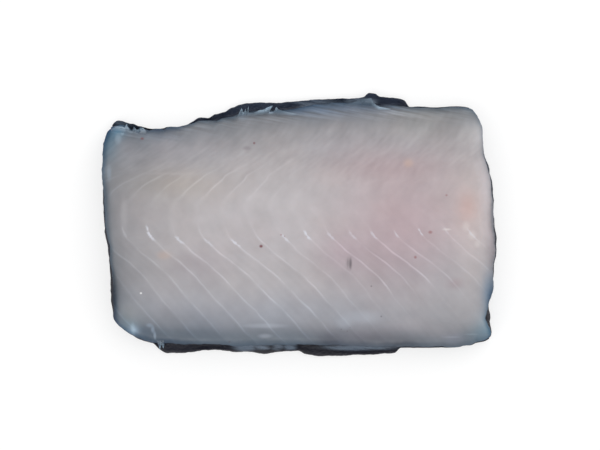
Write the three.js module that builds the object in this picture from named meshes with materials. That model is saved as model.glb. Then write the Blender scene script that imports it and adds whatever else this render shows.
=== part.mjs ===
// A skin-on portion of sturgeon fillet, lying skin down with its boned face up.
// Millimetres, +Z up. X runs along the fish, +Y points to the back edge and -Y to the belly edge.
// The origin is the middle of the footprint, on the surface that the piece lies on.
import * as THREE from "three";
import { mergeVertices } from "three/addons/utils/BufferGeometryUtils.js";

// Driving dimensions
const LENGTH = 199; // of the flesh, between its two cut ends
const WIDTH = 124; // of the flesh, from the belly edge to the back edge
const THICKNESS = 28; // of skin and flesh together, at the crown
const SKIN_THICKNESS = 1.4;
const SKIN_GAP = 0.3; // between the skin's upper face and the flesh
const HALF_LENGTH = LENGTH / 2;
const HALF_WIDTH = WIDTH / 2;
const FLESH_FLOOR = SKIN_THICKNESS + SKIN_GAP;

// The flesh is cut in from the LENGTH by WIDTH rectangle.
// A pair is a place along the edge, y at the two ends and x at the two long edges, and the inset there.
const LEFT_INSET = [
  [-62, 10], [-50, 6.6], [-44, 6.1], [-36, 5.7], [-28, 5.3], [-20, 4.4], [-12, 3.4], [-4, 1.9], [4, 1.4],
  [12, 0.9], [20, 0.7], [28, 0.1], [40, 0.4], [45, 1.7], [49, 2.9], [54, 4.2],
];
const RIGHT_INSET = [
  [-62, 2.4], [-56, 1.8], [-52.5, 3.1], [-48.6, 5.2], [-46.4, 6], [-44, 5.9], [-40.5, 5], [-36.5, 3.7],
  [-32.4, 2.7], [-28, 2.2], [-20, 1.9], [-12, 1.1], [-8, 1.1], [0, 2.1], [6, 2.6], [14, 2.6], [20, 3.1],
  [24, 4.1], [28.4, 5.1], [32.4, 6.6], [36.5, 7.3], [40.5, 7.5], [45, 7.3], [48.6, 8.6], [53, 10.4],
  [62, 13],
];
const BACK_INSET = [
  [-100, 13.5], [-96, 12.2], [-91, 11.8], [-86, 13.2], [-80, 14.2], [-75, 13.8], [-71, 13.9], [-67, 12.9],
  [-62, 13.1], [-58, 12.1], [-54, 11.2], [-50.4, 9.9], [-42.5, 9.8], [-38.3, 8.3], [-34, 7.7], [-30, 5.9],
  [-26, 5.4], [-10, 4.4], [2, 2.6], [20, 1.2], [28, 1.2], [36, 1.9], [50, 2.6], [58, 3.3], [68, 3.3],
  [80, 2.6], [100, 5],
];
const BELLY_INSET = [
  [-100, 14.4], [-90, 9.6], [-80, 4.1], [-72, 2.2], [-55, 1.4], [-42, 1], [-34, 0.8], [-26, 0.9],
  [-10, 1.3], [2.3, 1.4], [18.5, 1.2], [28, 0.3], [40, 0], [74, 0], [79.5, 0.2], [82.6, 1], [86.4, 1.3],
  [88.9, 2.3], [94, 2.8], [100, 4.2],
];
const CORNER_POWER = 40; // higher makes the four corners of the plan tighter
const CORNER_CUT = 1 / (CORNER_POWER + 1); // the cut that keeps the outline smooth through a corner

// The skin reaches past the flesh as ragged flaps along both long edges, and as a thin lip at the ends.
const BACK_FLAP = [
  [-100, 0.2], [-95.6, 0.3], [-94.8, 1], [-93.3, 2.1], [-91.8, 2.6], [-88, 2.4], [-84, 2.6], [-81, 2.2],
  [-78, 1.2], [-74, 0.3], [-57, 0.2], [-54, 1.2], [-50.4, 2], [-46.4, 1.6], [-42.3, 3.4], [-38.3, 3.1],
  [-34.2, 4.6], [-30, 4.4], [-26, 4.7], [-12, 4], [2, 3.2], [20, 2.7], [29, 3], [32, 4], [33, 5.3],
  [34.2, 6.1], [36, 6.3], [37.8, 6.1], [38.8, 5.3], [40, 4.8], [52.6, 3.8], [55.4, 0.6], [60, 0.9],
  [68, 0.5], [100, 0.5],
];
const BELLY_FLAP = [
  [-100, 0.5], [-74, 0.6], [-71, 3], [-66.7, 5.1], [-54.5, 4.1], [-48, 3], [-42.4, 2.6], [-34, 3.3],
  [-26, 3.5], [-18, 4.7], [-10, 3.9], [-4, 3.4], [-0.5, 3.6], [2.3, 5], [10.4, 6], [18.5, 5.8], [28, 4.5],
  [40, 3.7], [47.6, 3.2], [51, 0.6], [100, 0.5],
];
const LEFT_LIP = [
  [-62, 0.4], [-50, 0.9], [-44, 1.2], [-36, 1.8], [-28, 1.5], [-20, 1.05], [20, 1], [25, 0.6], [29, 0.3],
  [62, 0.3],
];
const RIGHT_LIP = [
  [-62, 0.4], [-53, 0.7], [-49, 2.3], [-46.6, 3.3], [-44.2, 2.3], [-41, 0.9], [-28, 0.8], [-20, 1],
  [-14, 1.25], [30, 1.2], [36, 0.9], [40, 0.6], [46, 0.4], [62, 0.3],
];
const BACK_LIFT = [
  [-100, 4], [-84, 2.4], [-60, 0.4], [-28, 2.4], [10, 1.8], [37, 3.4], [51, 2], [56, 0.2], [100, 0.2],
];
const BELLY_LIFT = [
  [-100, 0.2], [-75, 0.2], [-66, 1.2], [-20, 0.6], [18, 1.6], [48, 0.8], [53, 0.2], [100, 0.2],
];

// The crown of the boned face, which falls towards the ends and edges and is hollow along the midline.
const END_FALL = 2.2;
const EDGE_FALL = 2.6;
const CROWN_Y = 4;
const HOLLOW_DEPTH = 0.7;
const HOLLOW_Y = 6;
const HOLLOW_WIDTH = 9;

// The shoulder rounds the boned face over, from each edge inwards, down to a rim where the wall starts.
const SHOULDER = { left: 11, right: 8, back: 30, belly: 14 };
// A fullness of 0.5 makes the shoulder a quarter round, and more makes it a wedge.
const FULLNESS = { left: 0.5, right: 0.5, back: 0.75, belly: 0.5 };
const RIM_HEIGHT = { left: 12, right: 14, back: 3.2, belly: 6 };
const RIM_BLEND = 8; // higher makes the rim change faster round a corner
const WALL_TUCK = 0.012; // share by which the wall draws in where it meets the skin

// Facets along X, along Y and up the wall
const FLESH_FACETS = [44, 28, 4];
const SKIN_FACETS = [64, 20, 1];
const EDGE_CROWDING = 0.6; // 0 spaces the facets evenly, 1 packs them against the edges
const FLAP_ROWS = 2; // rows of skin facets past each long edge of the flesh
const FLAP_START = 1 - (2 * FLAP_ROWS) / SKIN_FACETS[1];

const { clamp, lerp } = THREE.MathUtils;

// A smooth curve through the pairs of place and value, which never swings past them.
function curveThrough(pairs) {
  const rise = pairs.slice(1).map(([at, value], i) => (value - pairs[i][1]) / (at - pairs[i][0]));
  const slope = pairs.map((_, i) => {
    const before = rise[i - 1] ?? rise[i];
    const after = rise[i] ?? rise[i - 1];
    return before * after > 0 ? (2 * before * after) / (before + after) : 0;
  });
  return (place) => {
    const i = clamp(pairs.findIndex(([at]) => at > place), 1, pairs.length - 1) - 1;
    const [from, start] = pairs[i];
    const [to, end] = pairs[i + 1];
    const t = clamp((place - from) / (to - from), 0, 1);
    const swing = (to - from) * t * (1 - t) * (slope[i] * (1 - t) - slope[i + 1] * t);
    return lerp(start, end, t * t * (3 - 2 * t)) + swing;
  };
}

const leftInset = curveThrough(LEFT_INSET);
const rightInset = curveThrough(RIGHT_INSET);
const backInset = curveThrough(BACK_INSET);
const bellyInset = curveThrough(BELLY_INSET);
const backFlap = curveThrough(BACK_FLAP);
const bellyFlap = curveThrough(BELLY_FLAP);
const leftLip = curveThrough(LEFT_LIP);
const rightLip = curveThrough(RIGHT_LIP);
const backLift = curveThrough(BACK_LIFT);
const bellyLift = curveThrough(BELLY_LIFT);

// Moves an even facet line towards the nearer edge.
function crowd(t) {
  return lerp(t, Math.sin((t * Math.PI) / 2), EDGE_CROWDING);
}

// The plan of the flesh: a square from -1 to 1 each way, its corners rounded, stretched to the four edges.
function fleshPlan(a, b) {
  const s = a * (1 - CORNER_CUT * Math.abs(b) ** CORNER_POWER);
  const t = b * (1 - CORNER_CUT * Math.abs(a) ** CORNER_POWER);
  const acrossAt = (x) => lerp(bellyInset(x) - HALF_WIDTH, HALF_WIDTH - backInset(x), (t + 1) / 2);
  const alongAt = (y) => lerp(leftInset(y) - HALF_LENGTH, HALF_LENGTH - rightInset(y), (s + 1) / 2);
  const x = alongAt(acrossAt(s * HALF_LENGTH));
  return new THREE.Vector2(x, acrossAt(x));
}

// The height of the rim, each side's own height blended round the corners.
function rimHeight(a, b) {
  const endShare = Math.abs(a) ** RIM_BLEND;
  const edgeShare = Math.abs(b) ** RIM_BLEND;
  const end = a < 0 ? RIM_HEIGHT.left : RIM_HEIGHT.right;
  const edge = b < 0 ? RIM_HEIGHT.belly : RIM_HEIGHT.back;
  return (end * endShare + edge * edgeShare) / Math.max(endShare + edgeShare, Number.EPSILON);
}

// A rounded step: 0 at an edge, 1 from the shoulder's radius inwards.
function shoulder(distance, radius, fullness) {
  const outside = 1 - Math.min(distance / radius, 1);
  return (1 - outside * outside) ** fullness;
}

// The height of the boned face over the plan's point (a, b).
function faceHeight(a, b) {
  const { x, y } = fleshPlan(a, b);
  const hollow = HOLLOW_DEPTH * Math.exp(-(((y - HOLLOW_Y) / HOLLOW_WIDTH) ** 2));
  const fall = END_FALL * (x / HALF_LENGTH) ** 2 + EDGE_FALL * ((y - CROWN_Y) / HALF_WIDTH) ** 2;
  const crown = THICKNESS - fall - hollow;
  const end = a < 0 ? "left" : "right";
  const edge = b < 0 ? "belly" : "back";
  const endRound = shoulder((1 - Math.abs(a)) * HALF_LENGTH, SHOULDER[end], FULLNESS[end]);
  const edgeRound = shoulder((1 - Math.abs(b)) * HALF_WIDTH, SHOULDER[edge], FULLNESS[edge]);
  return lerp(rimHeight(a, b), crown, endRound * edgeRound);
}

// A point of the flesh. level is 0 on the skin and 1 at the rim and over the whole boned face.
function fleshPoint(u, v, level) {
  const a = crowd(u);
  const b = crowd(v);
  const { x, y } = fleshPlan(a, b).multiplyScalar(1 - WALL_TUCK * (1 - level) ** 2);
  const z = level === 1 ? faceHeight(a, b) : lerp(FLESH_FLOOR, rimHeight(a, b), level);
  return new THREE.Vector3(x, y, z);
}

// A point of the skin: flat under the flesh, with a lip past each end and a flap that lifts past each edge.
function skinPoint(u, v, level) {
  const { x, y } = fleshPlan(u, clamp(v / FLAP_START, -1, 1));
  const past = Math.max(0, (Math.abs(v) - FLAP_START) / (1 - FLAP_START));
  const lip = u * (u < 0 ? leftLip(y) : rightLip(y));
  const reach = past * (v < 0 ? -bellyFlap(x) : backFlap(x));
  const lift = past ** 2 * (v < 0 ? bellyLift(x) : backLift(x));
  return new THREE.Vector3(x + lip, y + reach, lift + level * SKIN_THICKNESS);
}

// A closed box of facets, with each of its points sent to place(u, v, level).
function bentBox(facets, place) {
  const box = new THREE.BoxGeometry(2, 2, 1, ...facets);
  box.deleteAttribute("normal");
  box.deleteAttribute("uv");
  const solid = mergeVertices(box);
  const position = solid.getAttribute("position");
  for (let i = 0; i < position.count; i++) {
    const { x, y, z } = place(position.getX(i), position.getY(i), position.getZ(i) + 0.5);
    position.setXYZ(i, x, y, z);
  }
  solid.computeVertexNormals();
  return solid;
}

function makeFlesh() {
  const moistFlesh = new THREE.MeshStandardMaterial({ color: 0xb7b1b3, roughness: 0.4, metalness: 0 });
  const flesh = new THREE.Mesh(bentBox(FLESH_FACETS, fleshPoint), moistFlesh);
  flesh.name = "flesh";
  return flesh;
}

function makeSkin() {
  const darkSkin = new THREE.MeshStandardMaterial({ color: 0x2b303c, roughness: 0.5, metalness: 0 });
  const skin = new THREE.Mesh(bentBox(SKIN_FACETS, skinPoint), darkSkin);
  skin.name = "skin";
  return skin;
}

const fillet = new THREE.Group();
fillet.name = "sturgeon_fillet";
fillet.add(makeFlesh(), makeSkin());

// The ragged edges are centred on the origin as a whole.
const middle = new THREE.Box3().setFromObject(fillet).getCenter(new THREE.Vector3());
fillet.position.set(-middle.x, -middle.y, 0);

export default fillet;
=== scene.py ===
# %% [markdown]
# A portion of sturgeon fillet
#
# The object is a slab of raw fish that lies skin down, seen from straight above. It has two layers,
# the pale flesh and the dark skin under it, and a few shreds of film at their edges. Each is made here
# as one mesh, worked out with numpy as whole arrays, because the shape is soft and has no straight
# edge to start a box from.
# All the sums are in millimetres, and the meshes are scaled to metres as they are made.

import bpy
import numpy as np
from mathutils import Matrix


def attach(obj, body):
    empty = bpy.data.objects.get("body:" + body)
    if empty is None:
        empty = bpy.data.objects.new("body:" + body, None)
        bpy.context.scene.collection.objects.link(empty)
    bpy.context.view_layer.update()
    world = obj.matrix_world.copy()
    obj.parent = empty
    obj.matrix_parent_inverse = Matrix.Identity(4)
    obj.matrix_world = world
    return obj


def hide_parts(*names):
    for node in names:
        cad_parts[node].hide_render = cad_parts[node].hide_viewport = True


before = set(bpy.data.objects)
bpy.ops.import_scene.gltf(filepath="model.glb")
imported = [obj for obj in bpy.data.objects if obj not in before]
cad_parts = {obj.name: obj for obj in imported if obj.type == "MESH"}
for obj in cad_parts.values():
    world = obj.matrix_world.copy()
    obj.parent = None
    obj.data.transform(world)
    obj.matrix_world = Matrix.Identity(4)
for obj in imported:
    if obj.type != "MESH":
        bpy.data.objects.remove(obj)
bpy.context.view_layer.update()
MM = 0.001

# %% [markdown]
# The outline
#
# The slab is a rectangle cut by hand, so each of its edges wanders by some millimetres. An edge could
# be drawn as hundreds of points, but a few pairs of a place and an inset, and a smooth curve through
# them, are easier to change. A plain spline swings past its points where they are close together, so
# the slope at a pair is the harmonic mean of the rises on both sides, and zero where they change sign.

# %% A smooth curve through a few pairs
def curve_through(pairs, at):
    """The value at each place: cubic steps from pair to pair whose slopes never swing past them.

    Before the first pair and after the last one the value stays level.
    """
    places, values = np.array(pairs, float).T
    step = np.diff(places)
    rise = np.diff(values) / step
    before = np.concatenate([rise[:1], rise])
    after = np.concatenate([rise, rise[-1:]])
    same_way = before * after > 0
    slope = np.where(same_way, 2 * before * after / np.where(same_way, before + after, 1), 0)
    i = np.clip(np.searchsorted(places, at, side="right") - 1, 0, len(step) - 1)
    t = np.clip((at - places[i]) / step[i], 0, 1)
    swing = step[i] * t * (1 - t) * (slope[i] * (1 - t) - slope[i + 1] * t)
    return values[i] + (values[i + 1] - values[i]) * t * t * (3 - 2 * t) + swing


def ease(low, high, at):
    """0 below low, 1 above high, and between them three squares less two cubes of the way.

    low may be the larger of the two.
    """
    t = np.clip((at - low) / (high - low), 0, 1)
    return t * t * (3 - 2 * t)


TEAR_LENGTHS = (23, 14, 9, 6, 4, 2.6)
TEAR_GROWTH = 0.7


def ragged(place, size, seed, lengths=TEAR_LENGTHS):
    """A torn edge: sine waves of random phase, each as tall as its length to the power of the growth."""
    lengths = np.array(lengths)
    phase = np.random.default_rng(seed).uniform(0, 2 * np.pi, len(lengths))
    height = lengths**TEAR_GROWTH
    share = height / height.sum()
    return size * (share * np.sin(2 * np.pi * np.asarray(place)[..., None] / lengths + phase)).sum(-1)


print("ease from 0 to 1:", np.round(ease(0, 1, np.linspace(0, 1, 5)), 2))

# %% The four edges of the flesh
LENGTH = 199
WIDTH = 124
HALF_LENGTH = LENGTH / 2
HALF_WIDTH = WIDTH / 2
# Places along each edge, and how far it lies inside the rectangle there
LEFT_INSET = [
    (-62, 10), (-50, 6.6), (-44, 6.1), (-36, 5.7), (-28, 5.3), (-20, 4.4), (-12, 3.4), (-4, 1.9), (4, 1.4),
    (12, 0.9), (20, 0.7), (28, 0.1), (40, 0.4), (45, 1.7), (49, 2.9), (54, 4.2),
]
RIGHT_INSET = [
    (-62, 2.4), (-56, 1.8), (-52.5, 3.1), (-48.6, 5.2), (-46.4, 6), (-44, 5.9), (-40.5, 5), (-36.5, 3.7),
    (-32.4, 2.7), (-28, 2.2), (-20, 1.9), (-12, 1.1), (-8, 1.1), (0, 2.1), (6, 2.6), (14, 2.6), (20, 3.1),
    (24, 4.1), (28.4, 5.1), (32.4, 6.6), (36.5, 7.3), (40.5, 7.5), (45, 7.3), (48.6, 8.9), (53, 10.8),
    (62, 13),
]
BACK_INSET = [
    (-100, 13.5), (-96, 12.2), (-91, 11.8), (-86, 13.2), (-80, 14.2), (-75, 13.8), (-71, 13.9), (-67, 12.9),
    (-62, 13.1), (-58, 12.1), (-54, 11.2), (-50.4, 9.9), (-42.5, 9.8), (-38.3, 8.3), (-34, 7.7), (-30, 5.9),
    (-26, 5.4), (-10, 4.4), (2, 2.6), (20, 1.2), (28, 1.2), (36, 1.9), (50, 2.6), (58, 3.3), (68, 3.3),
    (80, 2.6), (84, 2.4), (87.5, 1.8), (92, 2.4), (100, 5),
]
BELLY_INSET = [
    (-100, 14.4), (-90, 9.6), (-80, 4.1), (-72, 2.2), (-55, 1.4), (-42, 1), (-34, 0.8), (-26, 0.9),
    (-10, 1.3), (2.3, 1.4), (18.5, 1.2), (28, 0.3), (40, 0), (74, 0), (79.5, 0.2), (82.6, 1),
    (86.4, 1.3), (88.9, 2.3), (94, 2.8), (100, 4.2),
]


def largest(tables):
    """The largest value in each of some named tables of pairs."""
    return {name: max(value for _, value in pairs) for name, pairs in tables.items()}


insets = {"left": LEFT_INSET, "right": RIGHT_INSET, "back": BACK_INSET, "belly": BELLY_INSET}
print("deepest inset, mm:", largest(insets))

# %% Stretch a square between the four edges
CORNER_POWER = 40
CORNER_CUT = 1 / (CORNER_POWER + 1)
EDGE_WANDER = 0.5
BACK_WANDER = 0.25
# Place, half width and depth of each notch
BACK_NOTCHES = [(-85, 1.4, 1.4), (-81.6, 1.8, 1.6), (-76, 2.2, 1.2), (-68.4, 1.2, 1.4)]
WANDER_FADE = 30


def notch_depth(at, place, half_width, depth):
    """A rounded notch: its depth times the bell curve of the distance from its place."""
    return depth * np.exp(-(((at - place) / half_width) ** 2))


def flesh_plan(a, b, torn=1):
    """Stretches a square, -1 to 1 each way, so that each side lies on one of the four edges.

    First a high power of the other parameter takes a little off each one, which rounds the corners.
    A torn edge also has a fine wander, and notches at the back. They die out a few millimetres
    inwards, so that the face stays smooth.
    """
    s = a * (1 - CORNER_CUT * np.abs(b) ** CORNER_POWER)
    t = b * (1 - CORNER_CUT * np.abs(a) ** CORNER_POWER)

    def across(x):
        """From the belly edge to the back edge at x, in proportion to t."""
        belly = curve_through(BELLY_INSET, x) - HALF_WIDTH
        back = HALF_WIDTH - curve_through(BACK_INSET, x)
        wander = ragged(x + WIDTH * np.sign(t), np.where(t < 0, EDGE_WANDER, BACK_WANDER), seed=1)
        for notch in BACK_NOTCHES:
            wander = wander - (t > 0) * notch_depth(x, *notch)
        return belly + (back - belly) * (t + 1) / 2 + torn * wander * np.abs(t) ** WANDER_FADE

    def along(y):
        """From the left end to the right end at y, in proportion to s."""
        left = curve_through(LEFT_INSET, y) - HALF_LENGTH
        right = HALF_LENGTH - curve_through(RIGHT_INSET, y)
        wander = ragged(y + LENGTH * np.sign(s), EDGE_WANDER, seed=2)
        return left + (right - left) * (s + 1) / 2 + torn * wander * np.abs(s) ** WANDER_FADE

    x = along(across(s * HALF_LENGTH))
    return x, across(x)


corner_x, corner_y = flesh_plan(np.array([-1.0, 1.0, 1.0, -1.0]), np.array([-1.0, -1.0, 1.0, 1.0]))
print("corners of the flesh, mm:", np.round(corner_x, 1), np.round(corner_y, 1))

# %% [markdown]
# The height of the face
#
# The boned face is nearly flat. It rounds over at the edges, quickly at the two cut ends and at the
# belly, and as a long thin wedge at the back, where the dark skin shows through it. A bevel on a plain
# block would round all its edges alike. A rounded step along each axis, multiplied together, gives all
# four shoulders and the corners at once, each side with its own width.

# %% The height of the face over the plan
THICKNESS = 28
END_FALL = 2.2
EDGE_FALL = 2.6
CROWN_Y = 4
SHOULDER = {"left": 11, "right": 8, "back": 30, "belly": 14}
FULLNESS = {"end": 0.5, "back": 0.75, "belly": 0.5}
RIM = {"left": 12, "right": 14, "back": 3.2, "belly": 6}
RIM_BLEND = 8
NEVER_ZERO = 1e-9


def rim_height(a, b):
    """The height where the wall meets the shoulder: the mean of the nearest end and edge.

    Each one's weight is a high power of its own parameter, so they blend only round the corners.
    """
    end_share = np.abs(a) ** RIM_BLEND
    edge_share = np.abs(b) ** RIM_BLEND
    end = np.where(a < 0, RIM["left"], RIM["right"])
    edge = np.where(b < 0, RIM["belly"], RIM["back"])
    return (end * end_share + edge * edge_share) / np.maximum(end_share + edge_share, NEVER_ZERO)


def shoulder(distance, radius, fullness):
    """A rounded step, 0 at the edge and 1 from the radius inwards: 1 less a square, to a power.

    A power of a half makes it a quarter circle, and a larger one leans it towards a wedge.
    """
    outside = 1 - np.minimum(distance / radius, 1)
    return (1 - outside**2) ** fullness


def face_height(a, b):
    """The rim, plus the crown's height above it times the two shoulders.

    The crown falls off as the square of x and of y.
    """
    x, y = flesh_plan(a, b)
    crown = THICKNESS - END_FALL * (x / HALF_LENGTH) ** 2 - EDGE_FALL * ((y - CROWN_Y) / HALF_WIDTH) ** 2
    end_radius = np.where(a < 0, SHOULDER["left"], SHOULDER["right"])
    edge_radius = np.where(b < 0, SHOULDER["belly"], SHOULDER["back"])
    edge_fullness = np.where(b < 0, FULLNESS["belly"], FULLNESS["back"])
    ends = shoulder((1 - np.abs(a)) * HALF_LENGTH, end_radius, FULLNESS["end"])
    edges = shoulder((1 - np.abs(b)) * HALF_WIDTH, edge_radius, edge_fullness)
    rim = rim_height(a, b)
    return rim + (crown - rim) * ends * edges


middle_to_back = face_height(np.zeros(3), np.array([0, 0.8, 1]))
print("height in the middle, near the back and at its rim, mm:", np.round(middle_to_back, 1))

# %% [markdown]
# The flesh as one closed mesh
#
# A grid of evenly spaced lines would stretch its cells where the shoulders are steep. So the lines
# are spaced evenly along the curve of the middle section instead. The outer ring of that patch goes
# on down as the wall, and one flat face closes the underside, which nobody sees.

# %% Grid lines at an even spacing along the curve
CELL = 0.66
SECTION_POINTS = 6001


def even_lines(place, height):
    """Lines from -1 to 1 that lie one cell apart along the curve of a section through the middle.

    The length of the curve up to each of many fine points is added up, then read backwards.
    """
    fine = np.linspace(-1, 1, SECTION_POINTS)
    run = np.concatenate([[0], np.hypot(np.diff(place(fine)), np.diff(height(fine))).cumsum()])
    return np.interp(np.linspace(0, run[-1], int(run[-1] / CELL)), run, fine)


lines_a = even_lines(lambda a: flesh_plan(a, 0 * a)[0], lambda a: face_height(a, 0 * a))
lines_b = even_lines(lambda b: flesh_plan(0 * b, b)[1], lambda b: face_height(0 * b, b))
patch_a, patch_b = np.meshgrid(lines_a, lines_b, indexing="ij")
print("face grid:", patch_a.shape)

# %% Rings and faces of a grid
def outer_ring(grid):
    """The point numbers round the edge of a grid, once round, anticlockwise from above."""
    return np.concatenate([grid[:-1, 0], grid[-1, :-1], grid[:0:-1, -1], grid[0, :0:-1]])


def grid_quads(grid):
    """A four cornered face for each cell of a grid of point numbers, turned to face outwards."""
    return np.stack([grid[:-1, :-1], grid[1:, :-1], grid[1:, 1:], grid[:-1, 1:]], -1).reshape(-1, 4)


face_grid = np.arange(patch_a.size).reshape(patch_a.shape)
ring = outer_ring(face_grid)
print("points round the face:", len(ring))

# %% Points and faces of the flesh
SKIN_THICKNESS = 1.4
FLESH_SINK = 0.1
FLESH_FLOOR = SKIN_THICKNESS - FLESH_SINK
WALL_ROWS = 12
WALL_TUCK = 0.012
wall_level = np.repeat(np.linspace(1, 0, WALL_ROWS + 1)[1:], len(ring))
point_a = np.concatenate([patch_a.ravel(), np.tile(patch_a.ravel()[ring], WALL_ROWS)])
point_b = np.concatenate([patch_b.ravel(), np.tile(patch_b.ravel()[ring], WALL_ROWS)])
level = np.concatenate([np.ones(face_grid.size), wall_level])
on_face = level == 1
plan_x, plan_y = flesh_plan(point_a, point_b)
tuck = 1 - WALL_TUCK * (1 - level) ** 2
rim = rim_height(point_a, point_b)
flesh_z = np.where(on_face, face_height(point_a, point_b), FLESH_FLOOR + (rim - FLESH_FLOOR) * level)
flesh_points = np.stack([plan_x * tuck, plan_y * tuck, flesh_z], 1)
wall_rows = np.concatenate([ring, face_grid.size + np.arange(len(wall_level))]).reshape(WALL_ROWS + 1, -1)
closed_rows = np.concatenate([wall_rows, wall_rows[:, :1]], 1)
flesh_quads = np.concatenate([grid_quads(face_grid), grid_quads(closed_rows)])
underside = wall_rows[-1][::-1]
print("flesh:", len(flesh_points), "points,", len(flesh_quads), "quads")

# %% [markdown]
# The muscle segments
#
# Fish muscle is a stack of cones, one for each backbone joint, with thin white sheets of tissue
# between them. The knife cuts the cones open, and the sheets show as a row of bent lines, nearly alike.
# Each line sweeps to the right above and below the midline. Sixteen curves could be drawn one by one,
# but one curve for the sweep of the first line, and a spacing that shrinks towards the right, give them
# all. The lines of a real fish stray a few millimetres from that, so a curve over the line numbers,
# at each of a few heights, shifts them. The number of the line that a point lies on, with its fraction,
# is then a smooth value that the finish can draw lines from at any sharpness.

# %% Where the muscle lines run
FIRST_LINE_X = [
    (-61, -32), (-48.6, -43.6), (-33.5, -58), (-21.5, -70.6), (-12.5, -81.3), (-6.5, -86.4), (-0.5, -88.6),
    (7, -89.1), (11.5, -86), (14, -83.8), (17, -80.7), (20.5, -76.2), (22.5, -72.6), (24.5, -68.8),
    (27, -62.8), (29.5, -58.2), (32, -54), (36, -48.5), (40, -43.8), (44.5, -38.8), (52, -32), (60, -26),
]
LINE_SPACING = [
    (-62, 13.6), (-20, 13.5), (-1, 13.3), (6, 12.9), (12, 12.4), (17, 12.3), (20.5, 12),
    (22.5, 11.4), (24.5, 10.7), (29.5, 10.1), (36, 10), (60, 9.7),
]
SPACING_LOSS = [(-62, 0.07), (0, 0.07), (12, 0.1), (20.5, 0.09), (22.5, 0.04), (24.5, 0), (60, 0)]
LINE_STRAY = {
    -43: [(-1, -2.2), (0.5, -2.2), (2, -0.8), (4, 0.8), (5.2, 0.2), (7, -2.7), (8.5, -3.6), (11, -3.4)],
    -31: [(-1, 0.7), (1, -0.5), (3, 0.5), (5, 2.2), (7, 1.3), (9, 0), (11, -0.8)],
    -19: [(-1, 2), (0, 0.3), (3, -0.2), (4.5, 0.5), (7, 1.1), (9, 0.3), (10, -1), (11, -1), (12.5, 0)],
    -8: [
        (0, 0), (1.5, -1.4), (4, -0.8), (5.5, 1), (7, 0.8), (8, 0), (9, -1.1), (10.4, -3), (12, -1.4),
        (13, 0.3),
    ],
    15: [(0, 0), (7, 0.2), (9, -2.8), (11, -2.4), (13, -1)],
    26: [(0, 0), (15, 0)],
}
print("heights where the lines stray, mm:", list(LINE_STRAY))

# %% The number of the muscle line at each point
SHEET_SLANT = 0.45
LINE_WANDER = 0.8
LINE_WAVES = (31, 17, 8)
STEP = 0.1


def line_stray(number, y):
    """How far a line strays along x: a curve over the line numbers at some heights y, mixed in between."""
    heights = list(LINE_STRAY)
    shares = np.eye(len(heights))
    curves = [curve_through(pairs, number) for pairs in LINE_STRAY.values()]
    return sum(np.interp(y, heights, share) * curve for share, curve in zip(shares, curves))


def muscle_line(x, y, depth):
    """Solves x = first + stray + spacing * n - loss * n squared for the line number n.

    The stray is read at the number that an even row would have. The sheets slant below the face.
    """
    first = curve_through(FIRST_LINE_X, y) + ragged(y, LINE_WANDER, 5, LINE_WAVES) + SHEET_SLANT * depth
    spacing = curve_through(LINE_SPACING, y)
    loss = curve_through(SPACING_LOSS, y)

    def number_at(run):
        """The smaller root of run = spacing * n - loss * n squared, in a form where loss may be 0."""
        return 2 * run / (spacing + np.sqrt(spacing**2 - 4 * loss * run))

    even = number_at(x - first)
    return number_at(x - first - line_stray(even, y))


depth = np.maximum(0, rim - flesh_z)
flesh_x, flesh_y, _ = flesh_points.T
line_number = muscle_line(flesh_x, flesh_y, depth)
rise_x = muscle_line(flesh_x + STEP, flesh_y, depth) - line_number
rise_y = muscle_line(flesh_x, flesh_y + STEP, depth) - line_number
# How many millimetres lie between one line and the next
line_reach = STEP / np.hypot(rise_x, rise_y)
print("muscle lines from", round(line_number.min(), 1), "to", round(line_number.max(), 1))

# %% [markdown]
# Relief
#
# The segments swell a little between the white sheets, the midline is hollow where the backbone was
# cut away, and the face has the low waves of soft meat. A bump in the material could fake them, but
# they would be missing from the mesh. So all of it is a push along the surface's own direction, which
# works on the face, the shoulders and the walls alike.

# %% Directions and uneven ground
SHORTEST_WAVE = 0.35


def point_directions(points, quads):
    """Each point's outward direction: the sum of the directions of the faces round it."""
    corner = points[quads]
    facing = np.cross(corner[:, 2] - corner[:, 0], corner[:, 3] - corner[:, 1])
    total = np.zeros_like(points)
    for k in range(4):
        np.add.at(total, quads[:, k], facing)
    return total / np.linalg.norm(total, axis=1, keepdims=True)


def waves(x, y, z, longest, seed, count=14):
    """Uneven ground: the sum of sine waves of random direction, length and phase, about 1 high."""
    pick = np.random.default_rng(seed)
    way = pick.normal(size=(count, 3))
    way /= np.linalg.norm(way, axis=1, keepdims=True)
    turns = 2 * np.pi / (longest * pick.uniform(SHORTEST_WAVE, 1, count))
    phase = pick.uniform(0, 2 * np.pi, count)
    flow = np.stack([x, y, z], -1) @ (way * turns[:, None]).T
    return np.sin(flow + phase).sum(-1) / np.sqrt(count)


WAVE = {"size": 0.32, "length": 40}
RIPPLE = {"size": 0.032, "length": 16}
flat = np.zeros_like(flesh_x)
ground = WAVE["size"] * waves(*flesh_points.T, WAVE["length"], seed=6)
ground += RIPPLE["size"] * waves(*flesh_points.T, RIPPLE["length"], seed=7)
print("uneven ground, mm:", round(ground.min(), 2), "to", round(ground.max(), 2))

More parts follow.
